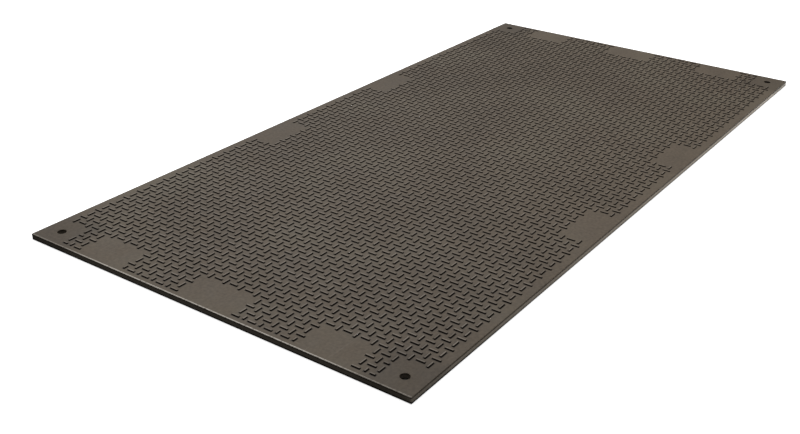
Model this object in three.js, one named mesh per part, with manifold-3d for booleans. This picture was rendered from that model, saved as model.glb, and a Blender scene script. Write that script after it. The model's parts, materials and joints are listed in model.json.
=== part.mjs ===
// Ground protection mat: one sheet of moulded polyethylene that lies flat on the ground.
// Lengths are millimetres. +X runs along the sheet, +Y across it and +Z up. The origin is the
// middle of the underside. The sheet and its tread are one moulding, so they are one solid.
// The tread is a square grid of short raised bars, every second one turned a quarter. At this
// scale the field of bars is one raised area, as high as the bars, with the outline of their tips.

import * as THREE from "three";
import { mergeVertices } from "three/addons/utils/BufferGeometryUtils.js";
import Module from "manifold-3d";

// The sheet.
const sheetLength = 2440;
const sheetWidth = 1220;
const sheetThickness = 16;
const cornerRadius = 4;
const arrisRadius = 2;
const arrisSteps = 3;
const arcSteps = 12;

// A hole through each corner, for a peg or a connector.
const holeDiameter = 23;
const holeInset = 55;

// The tread. The first row and column of bars are the ones nearest to the edges.
const treadPitch = 25;
const treadHeight = 3;
const barLength = 24;
const barWidth = 5;
const leastRowInset = 35;
const leastColumnInset = 20;

// Smooth places that the tread leaves out, counted in rows or columns of bars.
const cornerPadRows = 3;
const endPadDepth = 4;
const sidePadDepth = 3;
const endPadOuterRows = 6;
const endPadMiddleRows = 7;
const barsBetweenCornerAndPad = 3;
const sidePadColumns = 7;
const sidePadOffset = 300;

const padOverlap = 10;

const polyethylene = new THREE.MeshStandardMaterial({
  name: "polyethylene",
  color: 0x55504b,
  roughness: 0.62,
  metalness: 0,
});

// Bars in a line that fits between two edges, and how far the first and last lie from the middle.
function barLine(size, leastInset) {
  const count = Math.floor((size - 2 * leastInset) / treadPitch) + 1;
  return { count, reach: ((count - 1) / 2) * treadPitch };
}

const rows = barLine(sheetWidth, leastRowInset);
const columns = barLine(sheetLength, leastColumnInset);

// Half the size of the raised field. Along the long edges it ends at the tips of the outermost
// bars. At the short edges the bars that point outwards are cut flush with the sides of the rest.
const fieldHalfX = columns.reach + barWidth / 2;
const fieldHalfY = rows.reach + barLength / 2;

// How far from the middle the bars next to a smooth place end, on each side of the sheet.
const endPadInnerX = columns.reach - endPadDepth * treadPitch + barLength / 2;
const sidePadInnerY = rows.reach - sidePadDepth * treadPitch + barLength / 2;
const cornerPadInnerY = rows.reach - cornerPadRows * treadPitch + barWidth / 2;

// The space between two bars' tips when some bars between them are left out.
function clearedLength(count) {
  return (count + 1) * treadPitch - barLength;
}

// A closed mesh as a solid that can be joined and cut.
function toSolid(wasm, geometry) {
  const positions = geometry.index ? geometry.toNonIndexed() : geometry;
  positions.deleteAttribute("normal");
  positions.deleteAttribute("uv");
  const merged = mergeVertices(positions, 1e-4);
  return new wasm.Manifold(new wasm.Mesh({
    numProp: 3,
    vertProperties: new Float32Array(merged.attributes.position.array),
    triVerts: new Uint32Array(merged.index.array),
  }));
}

function toGeometry(solid) {
  const mesh = solid.getMesh();
  const geometry = new THREE.BufferGeometry();
  geometry.setAttribute("position", new THREE.BufferAttribute(mesh.vertProperties, 3));
  geometry.setIndex(new THREE.BufferAttribute(mesh.triVerts, 1));
  geometry.computeVertexNormals();
  return geometry;
}

// A rectangle with round corners, centred on the sheet.
function roundedOutline(length, width, radius) {
  const x = length / 2 - radius;
  const y = width / 2 - radius;
  const outline = new THREE.Shape();
  outline.absarc(x, -y, radius, -Math.PI / 2, 0, false);
  outline.absarc(x, y, radius, 0, Math.PI / 2, false);
  outline.absarc(-x, y, radius, Math.PI / 2, Math.PI, false);
  outline.absarc(-x, -y, radius, Math.PI, 1.5 * Math.PI, false);
  outline.closePath();
  return outline;
}

function cornerHole(sideX, sideY) {
  const hole = new THREE.Path();
  const x = sideX * (sheetLength / 2 - holeInset);
  const y = sideY * (sheetWidth / 2 - holeInset);
  hole.absarc(x, y, holeDiameter / 2, 0, 2 * Math.PI, true);
  return hole;
}

// The sheet without its tread: rounded corners, a rounded arris on every edge and four holes.
function plainSheet() {
  const outline = roundedOutline(sheetLength, sheetWidth, cornerRadius);
  for (const sideX of [-1, 1]) {
    for (const sideY of [-1, 1]) {
      outline.holes.push(cornerHole(sideX, sideY));
    }
  }
  const geometry = new THREE.ExtrudeGeometry(outline, {
    depth: sheetThickness - 2 * arrisRadius,
    curveSegments: arcSteps,
    bevelEnabled: true,
    bevelThickness: arrisRadius,
    bevelSize: arrisRadius,
    bevelOffset: -arrisRadius,
    bevelSegments: arrisSteps,
  });
  geometry.translate(0, 0, arrisRadius);
  return geometry;
}

// A block over the tread's height, a little taller and deeper, that clears a smooth place.
function clearing(centreX, centreY, length, width) {
  const height = treadHeight + 2 * padOverlap;
  const block = new THREE.BoxGeometry(length, width, height);
  block.translate(centreX, centreY, sheetThickness + treadHeight / 2);
  return block;
}

// The smooth places along one short edge: one in the middle and one towards each corner.
function endClearings(sideX) {
  const depth = fieldHalfX + padOverlap - endPadInnerX;
  const centreX = sideX * (endPadInnerX + depth / 2);
  const outerRow = cornerPadRows + barsBetweenCornerAndPad + (endPadOuterRows - 1) / 2;
  const outerY = rows.reach - outerRow * treadPitch;
  return [
    clearing(centreX, 0, depth, clearedLength(endPadMiddleRows)),
    clearing(centreX, outerY, depth, clearedLength(endPadOuterRows)),
    clearing(centreX, -outerY, depth, clearedLength(endPadOuterRows)),
  ];
}

// The two smooth places along one long edge.
function sideClearings(sideY) {
  const depth = fieldHalfY + padOverlap - sidePadInnerY;
  const centreY = sideY * (sidePadInnerY + depth / 2);
  return [-sidePadOffset, sidePadOffset].map(
    (x) => clearing(x, centreY, clearedLength(sidePadColumns), depth),
  );
}

function cornerClearing(sideX, sideY) {
  const length = fieldHalfX + padOverlap - endPadInnerX;
  const width = fieldHalfY + padOverlap - cornerPadInnerY;
  const x = sideX * (endPadInnerX + length / 2);
  const y = sideY * (cornerPadInnerY + width / 2);
  return clearing(x, y, length, width);
}

// The raised field, sunk a little into the sheet so that the two join.
function treadField(wasm) {
  const sink = sheetThickness / 2;
  const block = new THREE.BoxGeometry(2 * fieldHalfX, 2 * fieldHalfY, treadHeight + sink);
  block.translate(0, 0, sheetThickness + (treadHeight - sink) / 2);
  const clearings = [];
  for (const side of [-1, 1]) {
    clearings.push(...endClearings(side), ...sideClearings(side));
    clearings.push(cornerClearing(side, -1), cornerClearing(side, 1));
  }
  let field = toSolid(wasm, block);
  for (const cleared of clearings) {
    field = field.subtract(toSolid(wasm, cleared));
  }
  return field;
}

async function groundMat() {
  const wasm = await Module();
  wasm.setup();
  const solid = toSolid(wasm, plainSheet()).add(treadField(wasm));
  const mesh = new THREE.Mesh(toGeometry(solid), polyethylene);
  mesh.name = "ground_mat";
  return mesh;
}

const mat = new THREE.Group();
mat.name = "ground_protection_mat";
mat.add(await groundMat());

export default mat;
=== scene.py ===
"""Ground protection mat: a sheet of dark moulded polyethylene with a tread of short raised bars.

Lengths are metres in the shared frame: +X along the sheet, +Y across it, +Z up, and the
underside at zero. The sheet, the bars that lie along it and the bars that lie across it are
three meshes of one moulding. The camera stands beyond the corner at -X and -Y, so the near
short edge is at -X and the right long edge at -Y.
"""

import json
import math

import bmesh
import bpy
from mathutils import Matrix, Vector


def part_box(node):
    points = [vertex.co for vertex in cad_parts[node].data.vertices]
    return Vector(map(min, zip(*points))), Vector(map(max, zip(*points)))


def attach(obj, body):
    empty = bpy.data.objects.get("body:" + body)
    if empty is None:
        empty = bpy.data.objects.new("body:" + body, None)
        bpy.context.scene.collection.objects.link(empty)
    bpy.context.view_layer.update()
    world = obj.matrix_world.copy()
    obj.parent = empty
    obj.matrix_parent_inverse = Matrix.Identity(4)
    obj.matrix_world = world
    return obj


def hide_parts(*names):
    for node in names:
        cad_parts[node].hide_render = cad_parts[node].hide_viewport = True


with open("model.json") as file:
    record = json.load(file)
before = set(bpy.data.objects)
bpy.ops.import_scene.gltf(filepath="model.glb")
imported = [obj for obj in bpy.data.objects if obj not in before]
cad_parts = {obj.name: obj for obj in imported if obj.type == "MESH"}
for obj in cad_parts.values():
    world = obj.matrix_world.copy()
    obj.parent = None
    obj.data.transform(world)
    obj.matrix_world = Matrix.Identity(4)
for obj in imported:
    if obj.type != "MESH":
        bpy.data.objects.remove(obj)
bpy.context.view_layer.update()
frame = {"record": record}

MM = 0.001

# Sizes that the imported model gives.
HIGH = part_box("ground_mat")[1]
HALF_LENGTH = HIGH.x
HALF_WIDTH = HIGH.y
TREAD_TOP = HIGH.z
SHEET_TOP = next(
    m["pos_m"][2] for m in frame["record"]["mounts"] if m["name"].startswith("corner_pad")
)
HOLES = [
    [(low + high) / 2 for low, high in zip(*opening["box_m"])][:2]
    for opening in frame["record"]["physics"]["openings"]
]

# The sheet.
CORNER_RADIUS = 4 * MM
ARRIS_RADIUS = 2 * MM
HOLE_RADIUS = 11.5 * MM
CORNER_STEPS = 8
ARRIS_STEPS = 5
HOLE_STEPS = 64
FLAT_RIM = 0.6 * MM

# The tread: a square grid of bars, every second one turned a quarter.
PITCH = 25 * MM
BAR_LENGTH = 24 * MM
BAR_WIDTH = 5 * MM
BAR_CORNER = 1.9 * MM
BAR_CORNER_STEPS = 2
BAR_SHARP_ANGLE = math.radians(38)
LEAST_ROW_INSET = 35 * MM
LEAST_COLUMN_INSET = 20 * MM
CUT_BAR_LENGTH = (BAR_LENGTH + BAR_WIDTH) / 2
CUT_SHIFT = (BAR_LENGTH - CUT_BAR_LENGTH) / 2
TONE_SEED = 7

# A bar's section: how far each ring lies inside its footprint, and at which height.
BAR_RINGS = (
    (-0.5 * MM, SHEET_TOP - 0.3 * MM),
    (-0.1 * MM, SHEET_TOP + 0.3 * MM),
    (0.35 * MM, TREAD_TOP - 0.6 * MM),
    (0.85 * MM, TREAD_TOP),
)

# Smooth places that the tread leaves out, in rows or columns of bars.
CORNER_PAD_ROWS = 3
END_PAD_DEPTH = 4
SIDE_PAD_DEPTH = 3
END_PAD_OUTER_ROWS = 6
END_PAD_MIDDLE_ROWS = 7
BARS_BETWEEN_CORNER_AND_PAD = 3
SIDE_PAD_COLUMNS = 7
SIDE_PAD_OFFSET = 300 * MM

# The plastic's colours, from its dark and pale shades to its wear and grime, and painted shade,
# shadow, highlights and light.
DARK_PLASTIC = (0.070, 0.055, 0.040, 1)
PALE_PLASTIC = (0.126, 0.099, 0.072, 1)
OLIVE_CLOUD = (0.115, 0.103, 0.075, 1)
# Bar tops: wear, lightened further as a painted highlight.
SCUFFED_AND_HIGHLIT_TOP = (0.21, 0.18, 0.147, 1)
WORN_AND_HIGHLIT_BAR = (0.24, 0.205, 0.168, 1)
# Edge faces: paler where sawn, partly painted light.
SAWN_AND_LIT_FACE = (0.27, 0.235, 0.19, 1)
HOLE_GRIME = (0.03, 0.025, 0.02, 1)
# Painted shade on bar sides and edge faces, and painted shadow round bar feet.
PAINTED_SHADE = (0.013, 0.010, 0.008, 1)
# Near rim: wear, lightened further as a painted highlight.
WORN_RIM_HIGHLIGHT = (0.42, 0.385, 0.335, 1)
WHITE = (1, 1, 1, 1)
BLACK = (0, 0, 0, 1)

# Lumps in each metre, and how deep each kind of unevenness is.
CLOUD_SCALE = 3.0
BLOTCH_SCALE = 17.0
MOTTLE_SCALE = 120.0
GRAIN_SCALE = 900.0
BLOTCH_DEPTH = 0.5 * MM
MOTTLE_DEPTH = 0.12 * MM
GRAIN_DEPTH = 0.05 * MM
SCUFF_DEPTH = 0.05 * MM

# Wear with a painted highlight on the bar tops, painted shade on their sides and painted shadow
# round their feet: where each one starts and where it is full.
BAR_TOP_WEAR_AND_HIGHLIGHT = (TREAD_TOP - 0.7 * MM, TREAD_TOP - 0.2 * MM)
BAR_SIDE_SHADE = (SHEET_TOP + 0.02 * MM, SHEET_TOP + 0.3 * MM)
OVER_SHEET_TOP = (SHEET_TOP + 0.05 * MM, SHEET_TOP)
UNDER_SHEET_TOP = (SHEET_TOP - 0.2 * MM, SHEET_TOP)
# Painted shadow round the bars' feet, wider and darker towards the near short edge.
FOOT_SHADOW = (2.6 * MM, 0.2 * MM)
FOOT_SHADOW_GROWTH = 1.0 * MM
SHADOW_WIDENS_TOWARDS = (0.3, -0.9)

# Marks on the edges, in the same way: wear with a painted highlight on the near rim, sawn faces
# partly painted light, and painted shade.
RIM_INWARDS = (HALF_LENGTH - 5 * MM, HALF_LENGTH - 3 * MM)
RIM_UPWARDS = (SHEET_TOP - 1.4 * MM, SHEET_TOP - 0.6 * MM)
RIM_TOWARDS_CORNERS = (0.36, 0.5)
# The sawn faces' paler middle, partly painted light.
SAWN_AND_LIT_DOWNWARDS = (SHEET_TOP - 2.5 * MM, SHEET_TOP - 3.5 * MM)
SAWN_AND_LIT_UPWARDS = (0.5 * MM, 2.0 * MM)
# A painted shade line under the top arris of the edge faces.
LINE_UPWARDS = (SHEET_TOP - 4.2 * MM, SHEET_TOP - 3.4 * MM)
LINE_DOWNWARDS = (SHEET_TOP - 1.2 * MM, SHEET_TOP - 1.8 * MM)
LINE_GROWTH = 2.5 * MM
# Painted shade low on the edge faces at the near end.
GROUND_SHADE = (5.5 * MM, 3.0 * MM)
GROUND_SHADE_END = (-0.6, -1.1)
HOLE_GRIME_REACH = (110 * MM, 55 * MM)
# Painted light: paler towards the right long edge, away from the near end.
PALER_SIDE = (-0.9, -0.1)

# The photograph's frame, and the camera fitted to the sheet's outline in it.
PHOTO_WIDTH = 800
PHOTO_HEIGHT = 434
SENSOR_WIDTH = 36
FOCAL_PIXELS = 1068.7
CENTRE_PIXEL = (420.3, 224.9)
CAMERA_PLACE = (-2.6974, -1.6232, 1.3347)
CAMERA_TURN = (62.850, -1.062, -55.352)

# The studio: a large light beyond the far corner, a small one overhead, a low card of light
# beside the right long edge, and a faint even light from everywhere.
KEY_PLACE = (5.0, 6.0, 9.0)
KEY_SIZE = 2.0
KEY_POWER = 1340
TOP_PLACE = (0.0, 0.3, 5.0)
TOP_SIZE = 1.0
TOP_POWER = 50
CARD_LENGTH = 3.4
CARD_WIDTH = 0.6
CARD_CENTRE = 0.2
CARD_GAP = 3 * MM
CARD_HEIGHT = 1 * MM
CARD_NEAR_GLOW = 0.65
CARD_FAR_GAIN = 2.8
CARD_GAIN_BEND = 1.4
EVEN_LIGHT = 0.09
FLOOR_HALF = 30.0
FLOOR_GLOW = 0.85


def fill_count(size, least_inset):
    """How many bars a line holds between two edges."""
    tolerance = 1e-6
    return math.floor((size - 2 * least_inset) / PITCH + tolerance) + 1


COLUMNS = fill_count(2 * HALF_LENGTH, LEAST_COLUMN_INSET)
ROWS = fill_count(2 * HALF_WIDTH, LEAST_ROW_INSET)


class Wire:
    """A number, vector or colour in a node tree. Arithmetic on it adds Math nodes."""

    def __init__(self, tree, socket):
        self.tree = tree
        self.socket = socket

    def math(self, operation, *others):
        inputs = dict(enumerate((self, *others)))
        return self.tree.node("ShaderNodeMath", {"operation": operation}, inputs)

    def flipped(self, operation, first):
        return self.tree.node("ShaderNodeMath", {"operation": operation}, {0: first, 1: self})

    def __add__(self, other):
        return self.math("ADD", other)

    def __sub__(self, other):
        return self.math("SUBTRACT", other)

    def __mul__(self, other):
        return self.math("MULTIPLY", other)

    def __truediv__(self, other):
        return self.math("DIVIDE", other)

    def __radd__(self, other):
        return self.flipped("ADD", other)

    def __rsub__(self, other):
        return self.flipped("SUBTRACT", other)

    def __rmul__(self, other):
        return self.flipped("MULTIPLY", other)

    def __gt__(self, other):
        return self.math("GREATER_THAN", other)

    def __lt__(self, other):
        return self.math("LESS_THAN", other)

    def size(self):
        return self.math("ABSOLUTE")

    def nearest(self):
        return self.math("ROUND")

    def centred(self):
        """Noise that lies round zero instead of round a half."""
        return self - 0.5

    def under(self, count):
        """1 where a whole number is less than count."""
        return self < count - 0.5

    def reaches(self, count):
        """1 where a whole number is count or more."""
        return self > count - 0.5

    def is_odd(self):
        return self.math("MODULO", 2).reaches(1)

    def clamped(self):
        return self.tree.node("ShaderNodeClamp", {}, {"Value": self})

    def ramp(self, start, full):
        """0 up to start and 1 from full on, with a smooth change between them."""
        if full < start:
            return 1 - self.ramp(full, start)
        inputs = {"Value": self, "From Min": start, "From Max": full}
        settings = {"interpolation_type": "SMOOTHSTEP"}
        return self.tree.node("ShaderNodeMapRange", settings, inputs)

    def beside(self):
        """All the outputs of the node that this one comes from, by name."""
        return {socket.name: Wire(self.tree, socket) for socket in self.socket.node.outputs}


class Tree:
    """A node tree that is filled by calls."""

    def __init__(self, tree):
        self.tree = tree

    def node(self, kind, settings, inputs, output=0):
        """Adds a node, sets its settings, links or fills its inputs, and gives an output."""
        made = self.tree.nodes.new(kind)
        for name, value in settings.items():
            setattr(made, name, value)
        for key, value in inputs.items():
            if isinstance(value, Wire):
                self.tree.links.new(value.socket, made.inputs[key])
            else:
                made.inputs[key].default_value = value
        return Wire(self, made.outputs[output]) if made.outputs else None

    def axes(self, place):
        """A place's three coordinates."""
        parts = self.node("ShaderNodeSeparateXYZ", {}, {0: place}).beside()
        return parts["X"], parts["Y"], parts["Z"]

    def noise(self, place, scale, detail):
        """Noise from 0 to 1, with that many lumps in each metre."""
        inputs = {"Vector": place, "Scale": scale, "Detail": detail}
        return self.node("ShaderNodeTexNoise", {}, inputs)

    def streaks(self, place, turn, scale, start, full):
        """Long thin marks in one direction."""
        inputs = {"Vector": place, "Rotation": (0, 0, turn), "Scale": scale}
        stretched = self.node("ShaderNodeMapping", {}, inputs)
        return self.noise(stretched, 1.0, 2).ramp(start, full)

    def mix(self, factor, first, second):
        """A colour between two."""
        inputs = {0: factor, 6: first, 7: second}
        return self.node("ShaderNodeMix", {"data_type": "RGBA"}, inputs, output=2)


def add_object(name, data):
    made = bpy.data.objects.new(name, data)
    bpy.context.scene.collection.objects.link(made)
    return made


def mesh_object(name, bm):
    """A smooth-shaded object from the faces in bm, all turned outwards."""
    bmesh.ops.recalc_face_normals(bm, faces=bm.faces)
    mesh = bpy.data.meshes.new(name)
    bm.to_mesh(mesh)
    bm.free()
    mesh.shade_smooth()
    return add_object(name, mesh)


def rounded_rectangle(half_x, half_y, radius, steps):
    """Points of a rectangle with round corners, anticlockwise."""
    points = []
    for corner, (side_x, side_y) in enumerate(((1, -1), (1, 1), (-1, 1), (-1, -1))):
        middle = Vector((side_x * (half_x - radius), side_y * (half_y - radius)))
        for step in range(steps + 1):
            angle = math.radians(90) * (corner - 1 + step / steps)
            points.append(middle + radius * Vector((math.cos(angle), math.sin(angle))))
    return points


def circle(middle, radius, steps):
    """Points of a circle, anticlockwise."""
    angles = [math.tau * step / steps for step in range(steps)]
    return [Vector(middle) + radius * Vector((math.cos(a), math.sin(a))) for a in angles]


def add_wall(bm, rings):
    """Joins rings of points, each with its height, by quads. Gives the two end rings' edges."""
    loops = [[bm.verts.new((*point, height)) for point in points] for points, height in rings]
    for lower, upper in zip(loops, loops[1:]):
        for a in range(len(lower)):
            b = (a + 1) % len(lower)
            bm.faces.new((lower[a], lower[b], upper[b], upper[a]))
    ends = []
    for loop in (loops[0], loops[-1]):
        ends.append([bm.edges.get((loop[a - 1], loop[a])) for a in range(len(loop))])
    return ends


def edge_profile():
    """The sheet's edge with its rounded arrises, from underside to top: insets and heights."""
    arc = []
    for step in range(ARRIS_STEPS + 1):
        angle = math.radians(90) * step / ARRIS_STEPS
        inset = ARRIS_RADIUS * (1 - math.sin(angle))
        arc.append((inset, ARRIS_RADIUS * (1 - math.cos(angle))))
    lower = [(ARRIS_RADIUS + FLAT_RIM, 0.0), *arc]
    upper = [(inset, SHEET_TOP - height) for inset, height in reversed(lower)]
    return lower + upper


def make_sheet():
    """The sheet with round corners, a rounded arris on every edge and a hole in each corner."""
    bm = bmesh.new()
    outer, walls = [], [[] for _ in HOLES]
    for inset, height in edge_profile():
        half_x, half_y = HALF_LENGTH - inset, HALF_WIDTH - inset
        corner = CORNER_RADIUS - inset
        outer.append((rounded_rectangle(half_x, half_y, corner, CORNER_STEPS), height))
        for wall, place in zip(walls, HOLES):
            wall.append((circle(place, HOLE_RADIUS + inset, HOLE_STEPS), height))
    bottom, top = add_wall(bm, outer)
    for wall in walls:
        low, high = add_wall(bm, wall)
        bottom += low
        top += high
    for edges in (bottom, top):
        bmesh.ops.triangle_fill(bm, edges=edges, use_beauty=True)
    return mesh_object("sheet", bm)


def make_bar():
    """One bar of the tread, along +X, with drafted sides and a rounded arris."""
    bm = bmesh.new()
    rings = []
    for inset, height in BAR_RINGS:
        half_x, half_y = BAR_LENGTH / 2 - inset, BAR_WIDTH / 2 - inset
        corner = BAR_CORNER - inset
        rings.append((rounded_rectangle(half_x, half_y, corner, BAR_CORNER_STEPS), height))
    for edges in add_wall(bm, rings):
        bmesh.ops.contextual_create(bm, geom=edges)
    bar = mesh_object("bar", bm)
    bar.data.set_sharp_from_angle(angle=BAR_SHARP_ANGLE)
    return bar


def in_pads(column, row, x):
    """1 where a bar's place is smooth. Column and row count from the nearest edges."""
    outer_first = CORNER_PAD_ROWS + BARS_BETWEEN_CORNER_AND_PAD
    middle_first = (ROWS - END_PAD_MIDDLE_ROWS) / 2
    corner = row.under(CORNER_PAD_ROWS)
    outer = row.reaches(outer_first) * row.under(outer_first + END_PAD_OUTER_ROWS)
    middle = row.reaches(middle_first)
    at_end = column.under(END_PAD_DEPTH) * (corner + outer + middle)
    from_pad = (x.size() - SIDE_PAD_OFFSET).size()
    at_side = row.under(SIDE_PAD_DEPTH) * (from_pad < SIDE_PAD_COLUMNS / 2 * PITCH)
    return at_end + at_side


def cut_across(column, row):
    """1 where a bar that lies across the sheet would point into a corner pad."""
    next_to_pad = row.reaches(CORNER_PAD_ROWS) * row.under(CORNER_PAD_ROWS + 1)
    return column.under(END_PAD_DEPTH) * next_to_pad


def cut_along(column):
    """1 where a bar that lies along the sheet would point out of the field at a short edge."""
    return column.under(1)


def tread_tree(across):
    """A node tree that sets a bar at every second point of the grid, save in the pads."""
    group = bpy.data.node_groups.new("tread", "GeometryNodeTree")
    kinds = {
        "Bar": "Object",
        "Columns": "Int",
        "Rows": "Int",
        "Pitch": "Float",
        "Finish": "Material",
    }
    for name, kind in kinds.items():
        group.interface.new_socket(name, in_out="INPUT", socket_type="NodeSocket" + kind)
    group.interface.new_socket("Tread", in_out="OUTPUT", socket_type="NodeSocketGeometry")
    tree = Tree(group)
    given = tree.node("NodeGroupInput", {}, {}).beside()

    # The grid of places, less every second one and those in the pads.
    reach_x = (given["Columns"] - 1) * given["Pitch"] * 0.5
    reach_y = (given["Rows"] - 1) * given["Pitch"] * 0.5
    counts = {"Vertices X": given["Columns"], "Vertices Y": given["Rows"]}
    spans = {"Size X": reach_x * 2, "Size Y": reach_y * 2}
    grid = tree.node("GeometryNodeMeshGrid", {}, spans | counts)
    x, y, _ = tree.axes(tree.node("GeometryNodeInputPosition", {}, {}))
    column = ((reach_x - x.size()) / given["Pitch"]).nearest()
    row = ((reach_y - y.size()) / given["Pitch"]).nearest()
    odd = (column + row).is_odd()
    unwanted = in_pads(column, row, x) + (1 - odd if across else odd)
    inputs = {"Geometry": grid, "Selection": unwanted.reaches(1)}
    points = tree.node("GeometryNodeDeleteGeometry", {"domain": "POINT"}, inputs)

    # Bars that point out of the field at a short edge, or into a corner pad, are cut.
    if across:
        cut, outward, turn = cut_across(column, row), y.math("SIGN"), math.radians(90)
    else:
        cut, outward, turn = cut_along(column), x.math("SIGN"), 0.0
    shift = cut * outward * -CUT_SHIFT
    length = 1 - cut * (1 - CUT_BAR_LENGTH / BAR_LENGTH)
    inputs = {"Geometry": points, "Name": "bar_length", "Value": length}
    points = tree.node("GeometryNodeStoreNamedAttribute", {"data_type": "FLOAT"}, inputs)
    offset = tree.node("ShaderNodeCombineXYZ", {}, {"Y" if across else "X": shift})
    points = tree.node("GeometryNodeSetPosition", {}, {"Geometry": points, "Offset": offset})
    inputs = {"Name": "bar_length"}
    kept = tree.node("GeometryNodeInputNamedAttribute", {"data_type": "FLOAT"}, inputs)
    scale = tree.node("ShaderNodeCombineXYZ", {}, {"X": kept, "Y": 1.0, "Z": 1.0})

    # A bar on every place that is left, with a tone of its own.
    bar = tree.node("GeometryNodeObjectInfo", {}, {"Object": given["Bar"]}, output="Geometry")
    turned = {"Rotation": (0.0, 0.0, turn), "Scale": scale}
    inputs = {"Points": points, "Instance": bar} | turned
    bars = tree.node("GeometryNodeInstanceOnPoints", {}, inputs)
    inputs = {2: 0.0, 3: 1.0, "Seed": TONE_SEED}
    tone = tree.node("FunctionNodeRandomValue", {"data_type": "FLOAT"}, inputs, output=1)
    settings = {"data_type": "FLOAT", "domain": "INSTANCE"}
    inputs = {"Geometry": bars, "Name": "tone", "Value": tone}
    bars = tree.node("GeometryNodeStoreNamedAttribute", settings, inputs)
    bars = tree.node("GeometryNodeRealizeInstances", {}, {"Geometry": bars})
    inputs = {"Geometry": bars, "Material": given["Finish"]}
    bars = tree.node("GeometryNodeSetMaterial", {}, inputs)
    tree.node("NodeGroupOutput", {}, {"Tread": bars})
    return group


def make_tread(name, bar, finish, across):
    """The bars that lie along the sheet, or across it, as one plain mesh."""
    maker = add_object(name + "_maker", bpy.data.meshes.new(name + "_maker"))
    modifier = maker.modifiers.new("tread", "NODES")
    modifier.node_group = tread_tree(across)
    given = {"Bar": bar, "Columns": COLUMNS, "Rows": ROWS, "Pitch": PITCH, "Finish": finish}
    for socket in modifier.node_group.interface.items_tree:
        if socket.name in given:
            modifier[socket.identifier] = given[socket.name]
    bpy.context.view_layer.update()
    depsgraph = bpy.context.evaluated_depsgraph_get()
    mesh = bpy.data.meshes.new_from_object(maker.evaluated_get(depsgraph), depsgraph=depsgraph)
    bpy.data.objects.remove(maker)
    mesh.name = name
    return add_object(name, mesh)


def new_material(name):
    """An empty material, its node tree, and a point's place on the object."""
    made = bpy.data.materials.new(name)
    made.use_nodes = True
    made.node_tree.nodes.clear()
    tree = Tree(made.node_tree)
    return made, tree, tree.node("ShaderNodeTexCoord", {}, {}, output="Object")


def painted_foot_shadow(x, y, growth):
    """Painted shadow: 1 at the foot of a bar, fading out a little away from it."""
    column_place = (COLUMNS - 1) / 2 - x.size() / PITCH
    row_place = (ROWS - 1) / 2 - y.size() / PITCH
    column, row = column_place.nearest(), row_place.nearest()
    in_field = column.reaches(0) * row.reaches(0) * in_pads(column, row, x).under(1)
    off_x = (column_place - column) * PITCH
    off_y = (row_place - row) * PITCH
    across = (column + row).is_odd()
    swap = across * (off_y - off_x)
    cut = across * cut_across(column, row) + (1 - across) * cut_along(column)
    shift = cut * CUT_SHIFT
    beyond_end = (off_x + swap - shift).size() + shift - BAR_LENGTH / 2
    beyond_side = (off_y - swap).size() - BAR_WIDTH / 2
    away = beyond_end.math("MAXIMUM", beyond_side) - growth
    return in_field * away.ramp(*FOOT_SHADOW)


def bar_marks(x, y, z):
    """How worn a bar's top is, with a painted highlight, and the painted shade on its sides and
    painted shadow round its foot.
    """
    top = z.ramp(*BAR_TOP_WEAR_AND_HIGHLIGHT)
    # Painted shade on the bar's sides.
    sides = z.ramp(*BAR_SIDE_SHADE) * (1 - top)
    near_end = x.ramp(*SHADOW_WIDENS_TOWARDS)
    on_sheet = z.ramp(*OVER_SHEET_TOP) * z.ramp(*UNDER_SHEET_TOP)
    # Painted shadow round the foot, wider and darker towards the near short edge.
    foot = painted_foot_shadow(x, y, near_end * FOOT_SHADOW_GROWTH) * (0.55 + 0.41 * near_end) * on_sheet
    return top, sides * 0.95 + foot


def edge_marks(x, y, z):
    """The near short edge's worn rim with a painted highlight, the rough edge faces partly
    painted light, and painted shade on them.
    """
    # The near rim: wear with a painted highlight.
    rim = (0 - x).ramp(*RIM_INWARDS) * z.ramp(*RIM_UPWARDS)
    rim = rim * (1 - 0.6 * y.size().ramp(*RIM_TOWARDS_CORNERS))
    # The edge faces' paler middle: sawn surface, partly painted light.
    sawn_and_lit = z.ramp(*SAWN_AND_LIT_DOWNWARDS) * z.ramp(*SAWN_AND_LIT_UPWARDS)
    along = x / (2 * HALF_LENGTH) + 0.5
    # A painted shade line under the top arris, wider and stronger towards the far end.
    line = (z + along * LINE_GROWTH).ramp(*LINE_UPWARDS) * z.ramp(*LINE_DOWNWARDS)
    line = line * (0.4 + 0.58 * along)
    # Painted shade low on the edge faces at the near end.
    painted_ground_shade = z.ramp(*GROUND_SHADE) * x.ramp(*GROUND_SHADE_END) * 0.85
    return rim, sawn_and_lit, line + painted_ground_shade


def hole_grime(x, y):
    """1 round a corner hole, fading out away from it."""
    hole_x, hole_y = (abs(place) for place in HOLES[0])
    away_x = (x.size() - hole_x).size()
    away_y = (y.size() - hole_y).size()
    return away_x.math("MAXIMUM", away_y).ramp(*HOLE_GRIME_REACH)


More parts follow.
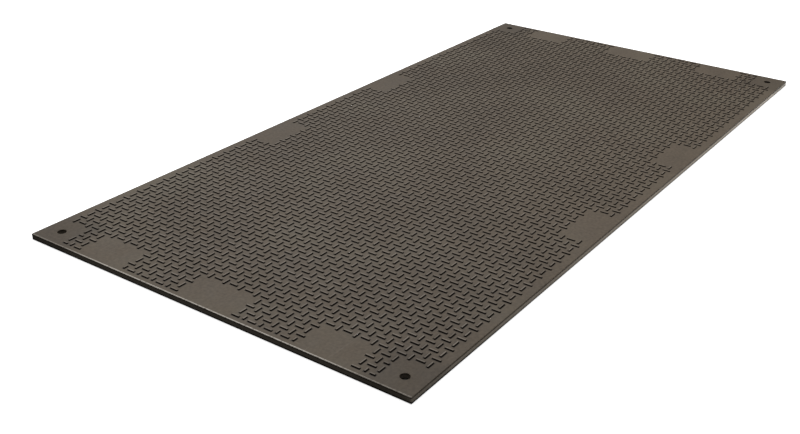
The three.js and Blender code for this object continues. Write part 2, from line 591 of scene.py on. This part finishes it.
def polyethylene():
    """Dark, slightly warm moulded plastic with faint clouds, fine grain, wear and grime, and
    painted shade, shadow, highlights and light.
    """
    made, tree, place = new_material("polyethylene")
    x, y, z = tree.axes(place)
    clouds = tree.noise(place, CLOUD_SCALE, 4)
    blotches = tree.noise(place, BLOTCH_SCALE, 3)
    mottle = tree.noise(place, MOTTLE_SCALE, 3)
    grain = tree.noise(place, GRAIN_SCALE, 2)
    scuffs = tree.streaks(place, 0.35, (6.0, 160.0, 6.0), 0.66, 0.74)
    scuffs = scuffs + tree.streaks(place, -0.9, (140.0, 5.0, 5.0), 0.67, 0.75)
    scuffs = (scuffs * blotches.ramp(0.42, 0.62)).clamped()
    bar_tone = tree.node("ShaderNodeAttribute", {"attribute_name": "tone"}, {}, output="Fac")
    top, painted_bar_shade = bar_marks(x, y, z)
    rim, sawn_and_lit, painted_edge_shade = edge_marks(x, y, z)

    # The plastic's own shade, with painted light making it paler towards the right long edge
    # away from the near end.
    shade = clouds.centred() * 0.9 + blotches.centred() * 0.6 + mottle.centred() * 1.5
    shade = shade + grain.centred() * 0.6 + 0.55 - y * x.ramp(*PALER_SIDE) * 0.4
    colour = tree.mix(shade.clamped(), DARK_PLASTIC, PALE_PLASTIC)

    # What lies over it: how much of each, and its colour.
    layers = (
        (clouds.ramp(0.45, 0.72) * 0.35, OLIVE_CLOUD),
        # Bar tops: scuffs and wear, lightened further as a painted highlight.
        (top * 0.24 + scuffs * 0.2, SCUFFED_AND_HIGHLIT_TOP),
        (top * bar_tone * 0.55, WORN_AND_HIGHLIT_BAR),
        # Edge faces: sawn surface, partly painted light.
        (sawn_and_lit * (0.4 + 0.6 * mottle), SAWN_AND_LIT_FACE),
        (hole_grime(x, y) * 0.3, HOLE_GRIME),
        # Painted shade and painted shadow.
        ((painted_bar_shade + painted_edge_shade).clamped(), PAINTED_SHADE),
        # Near rim: wear with a painted highlight.
        (rim * mottle.ramp(0.2, 0.55) * 0.95, WORN_RIM_HIGHLIGHT),
    )
    for amount, tint in layers:
        colour = tree.mix(amount, colour, tint)

    rough = 0.72 + blotches.centred() * 0.16 + grain.centred() * 0.12
    rough = rough - top * 0.06 - scuffs * 0.06 - rim * 0.15
    relief = grain * GRAIN_DEPTH + mottle * MOTTLE_DEPTH + blotches * BLOTCH_DEPTH
    relief = relief - scuffs * SCUFF_DEPTH
    inputs = {
        "Base Color": colour,
        "Roughness": rough.clamped(),
        "Normal": tree.node("ShaderNodeBump", {}, {"Distance": 1.0, "Height": relief}),
        "IOR": 1.51,
        "Specular IOR Level": 0.17,
    }
    shader = tree.node("ShaderNodeBsdfPrincipled", {}, inputs)
    tree.node("ShaderNodeOutputMaterial", {}, {"Surface": shader})
    return made


def floor_finish():
    """A plain white studio floor that glows, except under the sheet."""
    made, tree, place = new_material("floor")
    x, y, _ = tree.axes(place)
    under = (x.size() < HALF_LENGTH) * (y.size() < HALF_WIDTH)
    inputs = {
        "Base Color": (0.8, 0.8, 0.8, 1),
        "Roughness": 0.9,
        "Emission Color": tree.mix(under, WHITE, BLACK),
        "Emission Strength": FLOOR_GLOW,
    }
    shader = tree.node("ShaderNodeBsdfPrincipled", {}, inputs)
    tree.node("ShaderNodeOutputMaterial", {}, {"Surface": shader})
    return made


def make_floor():
    """The floor, which the camera sees but which throws no light on the mat."""
    corners = [
        (side_x * FLOOR_HALF, side_y * FLOOR_HALF, 0)
        for side_x, side_y in ((-1, -1), (1, -1), (1, 1), (-1, 1))
    ]
    mesh = bpy.data.meshes.new("floor")
    mesh.from_pydata(corners, [], [(0, 1, 2, 3)])
    mesh.materials.append(floor_finish())
    floor = add_object("floor", mesh)
    floor.visible_diffuse = False
    floor.visible_glossy = False


def add_area_light(name, place, target, size, power):
    """A round light at a place, aimed at a target."""
    light = bpy.data.lights.new(name, "AREA")
    light.shape = "DISK"
    light.size = size
    light.energy = power
    made = add_object(name, light)
    made.location = place
    aim = Vector(target) - Vector(place)
    made.rotation_euler = aim.to_track_quat("-Z", "Y").to_euler()
    return made


def add_card():
    """A low card of light beside the right long edge, brighter towards its far end."""
    place = Vector((CARD_CENTRE, -HALF_WIDTH - CARD_GAP - CARD_WIDTH / 2, CARD_HEIGHT))
    power = math.pi * CARD_LENGTH * CARD_WIDTH
    card = add_area_light("card", place, place + Vector((0, 0, 1)), CARD_LENGTH, power)
    card.data.shape = "RECTANGLE"
    card.data.size_y = CARD_WIDTH
    card.visible_camera = False
    card.data.use_nodes = True
    card.data.node_tree.nodes.clear()
    tree = Tree(card.data.node_tree)
    x, _, _ = tree.axes(tree.node("ShaderNodeNewGeometry", {}, {}, output="Position"))
    along = (x / (2 * HALF_LENGTH) + 0.5).clamped()
    glow = CARD_NEAR_GLOW + CARD_FAR_GAIN * along.math("POWER", CARD_GAIN_BEND)
    emission = tree.node("ShaderNodeEmission", {}, {"Strength": glow})
    tree.node("ShaderNodeOutputLight", {}, {"Surface": emission})


def make_light():
    world = bpy.data.worlds.new("studio")
    world.use_nodes = True
    background = world.node_tree.nodes["Background"]
    background.inputs["Color"].default_value = WHITE
    background.inputs["Strength"].default_value = EVEN_LIGHT
    bpy.context.scene.world = world
    add_area_light("key", KEY_PLACE, (0, 0, 0), KEY_SIZE, KEY_POWER)
    add_area_light("top", TOP_PLACE, (0, 0, 0), TOP_SIZE, TOP_POWER)
    add_card()
    bpy.context.scene.view_settings.view_transform = "Standard"


def make_camera():
    camera = bpy.data.cameras.new("camera")
    camera.sensor_fit = "HORIZONTAL"
    camera.sensor_width = SENSOR_WIDTH
    camera.lens = FOCAL_PIXELS / PHOTO_WIDTH * SENSOR_WIDTH
    camera.shift_x = (PHOTO_WIDTH / 2 - CENTRE_PIXEL[0]) / PHOTO_WIDTH
    camera.shift_y = (CENTRE_PIXEL[1] - PHOTO_HEIGHT / 2) / PHOTO_WIDTH
    made = add_object("camera", camera)
    made.location = CAMERA_PLACE
    made.rotation_euler = [math.radians(angle) for angle in CAMERA_TURN]
    bpy.context.scene.camera = made


def build():
    finish = polyethylene()
    sheet = make_sheet()
    sheet.data.materials.append(finish)
    bar = make_bar()
    bars_along = make_tread("bars_along", bar, finish, across=False)
    bars_across = make_tread("bars_across", bar, finish, across=True)
    bpy.data.objects.remove(bar)
    for piece in (sheet, bars_along, bars_across):
        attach(piece, "root")
        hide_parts("ground_mat")


make_camera()
make_light()
make_floor()
build()
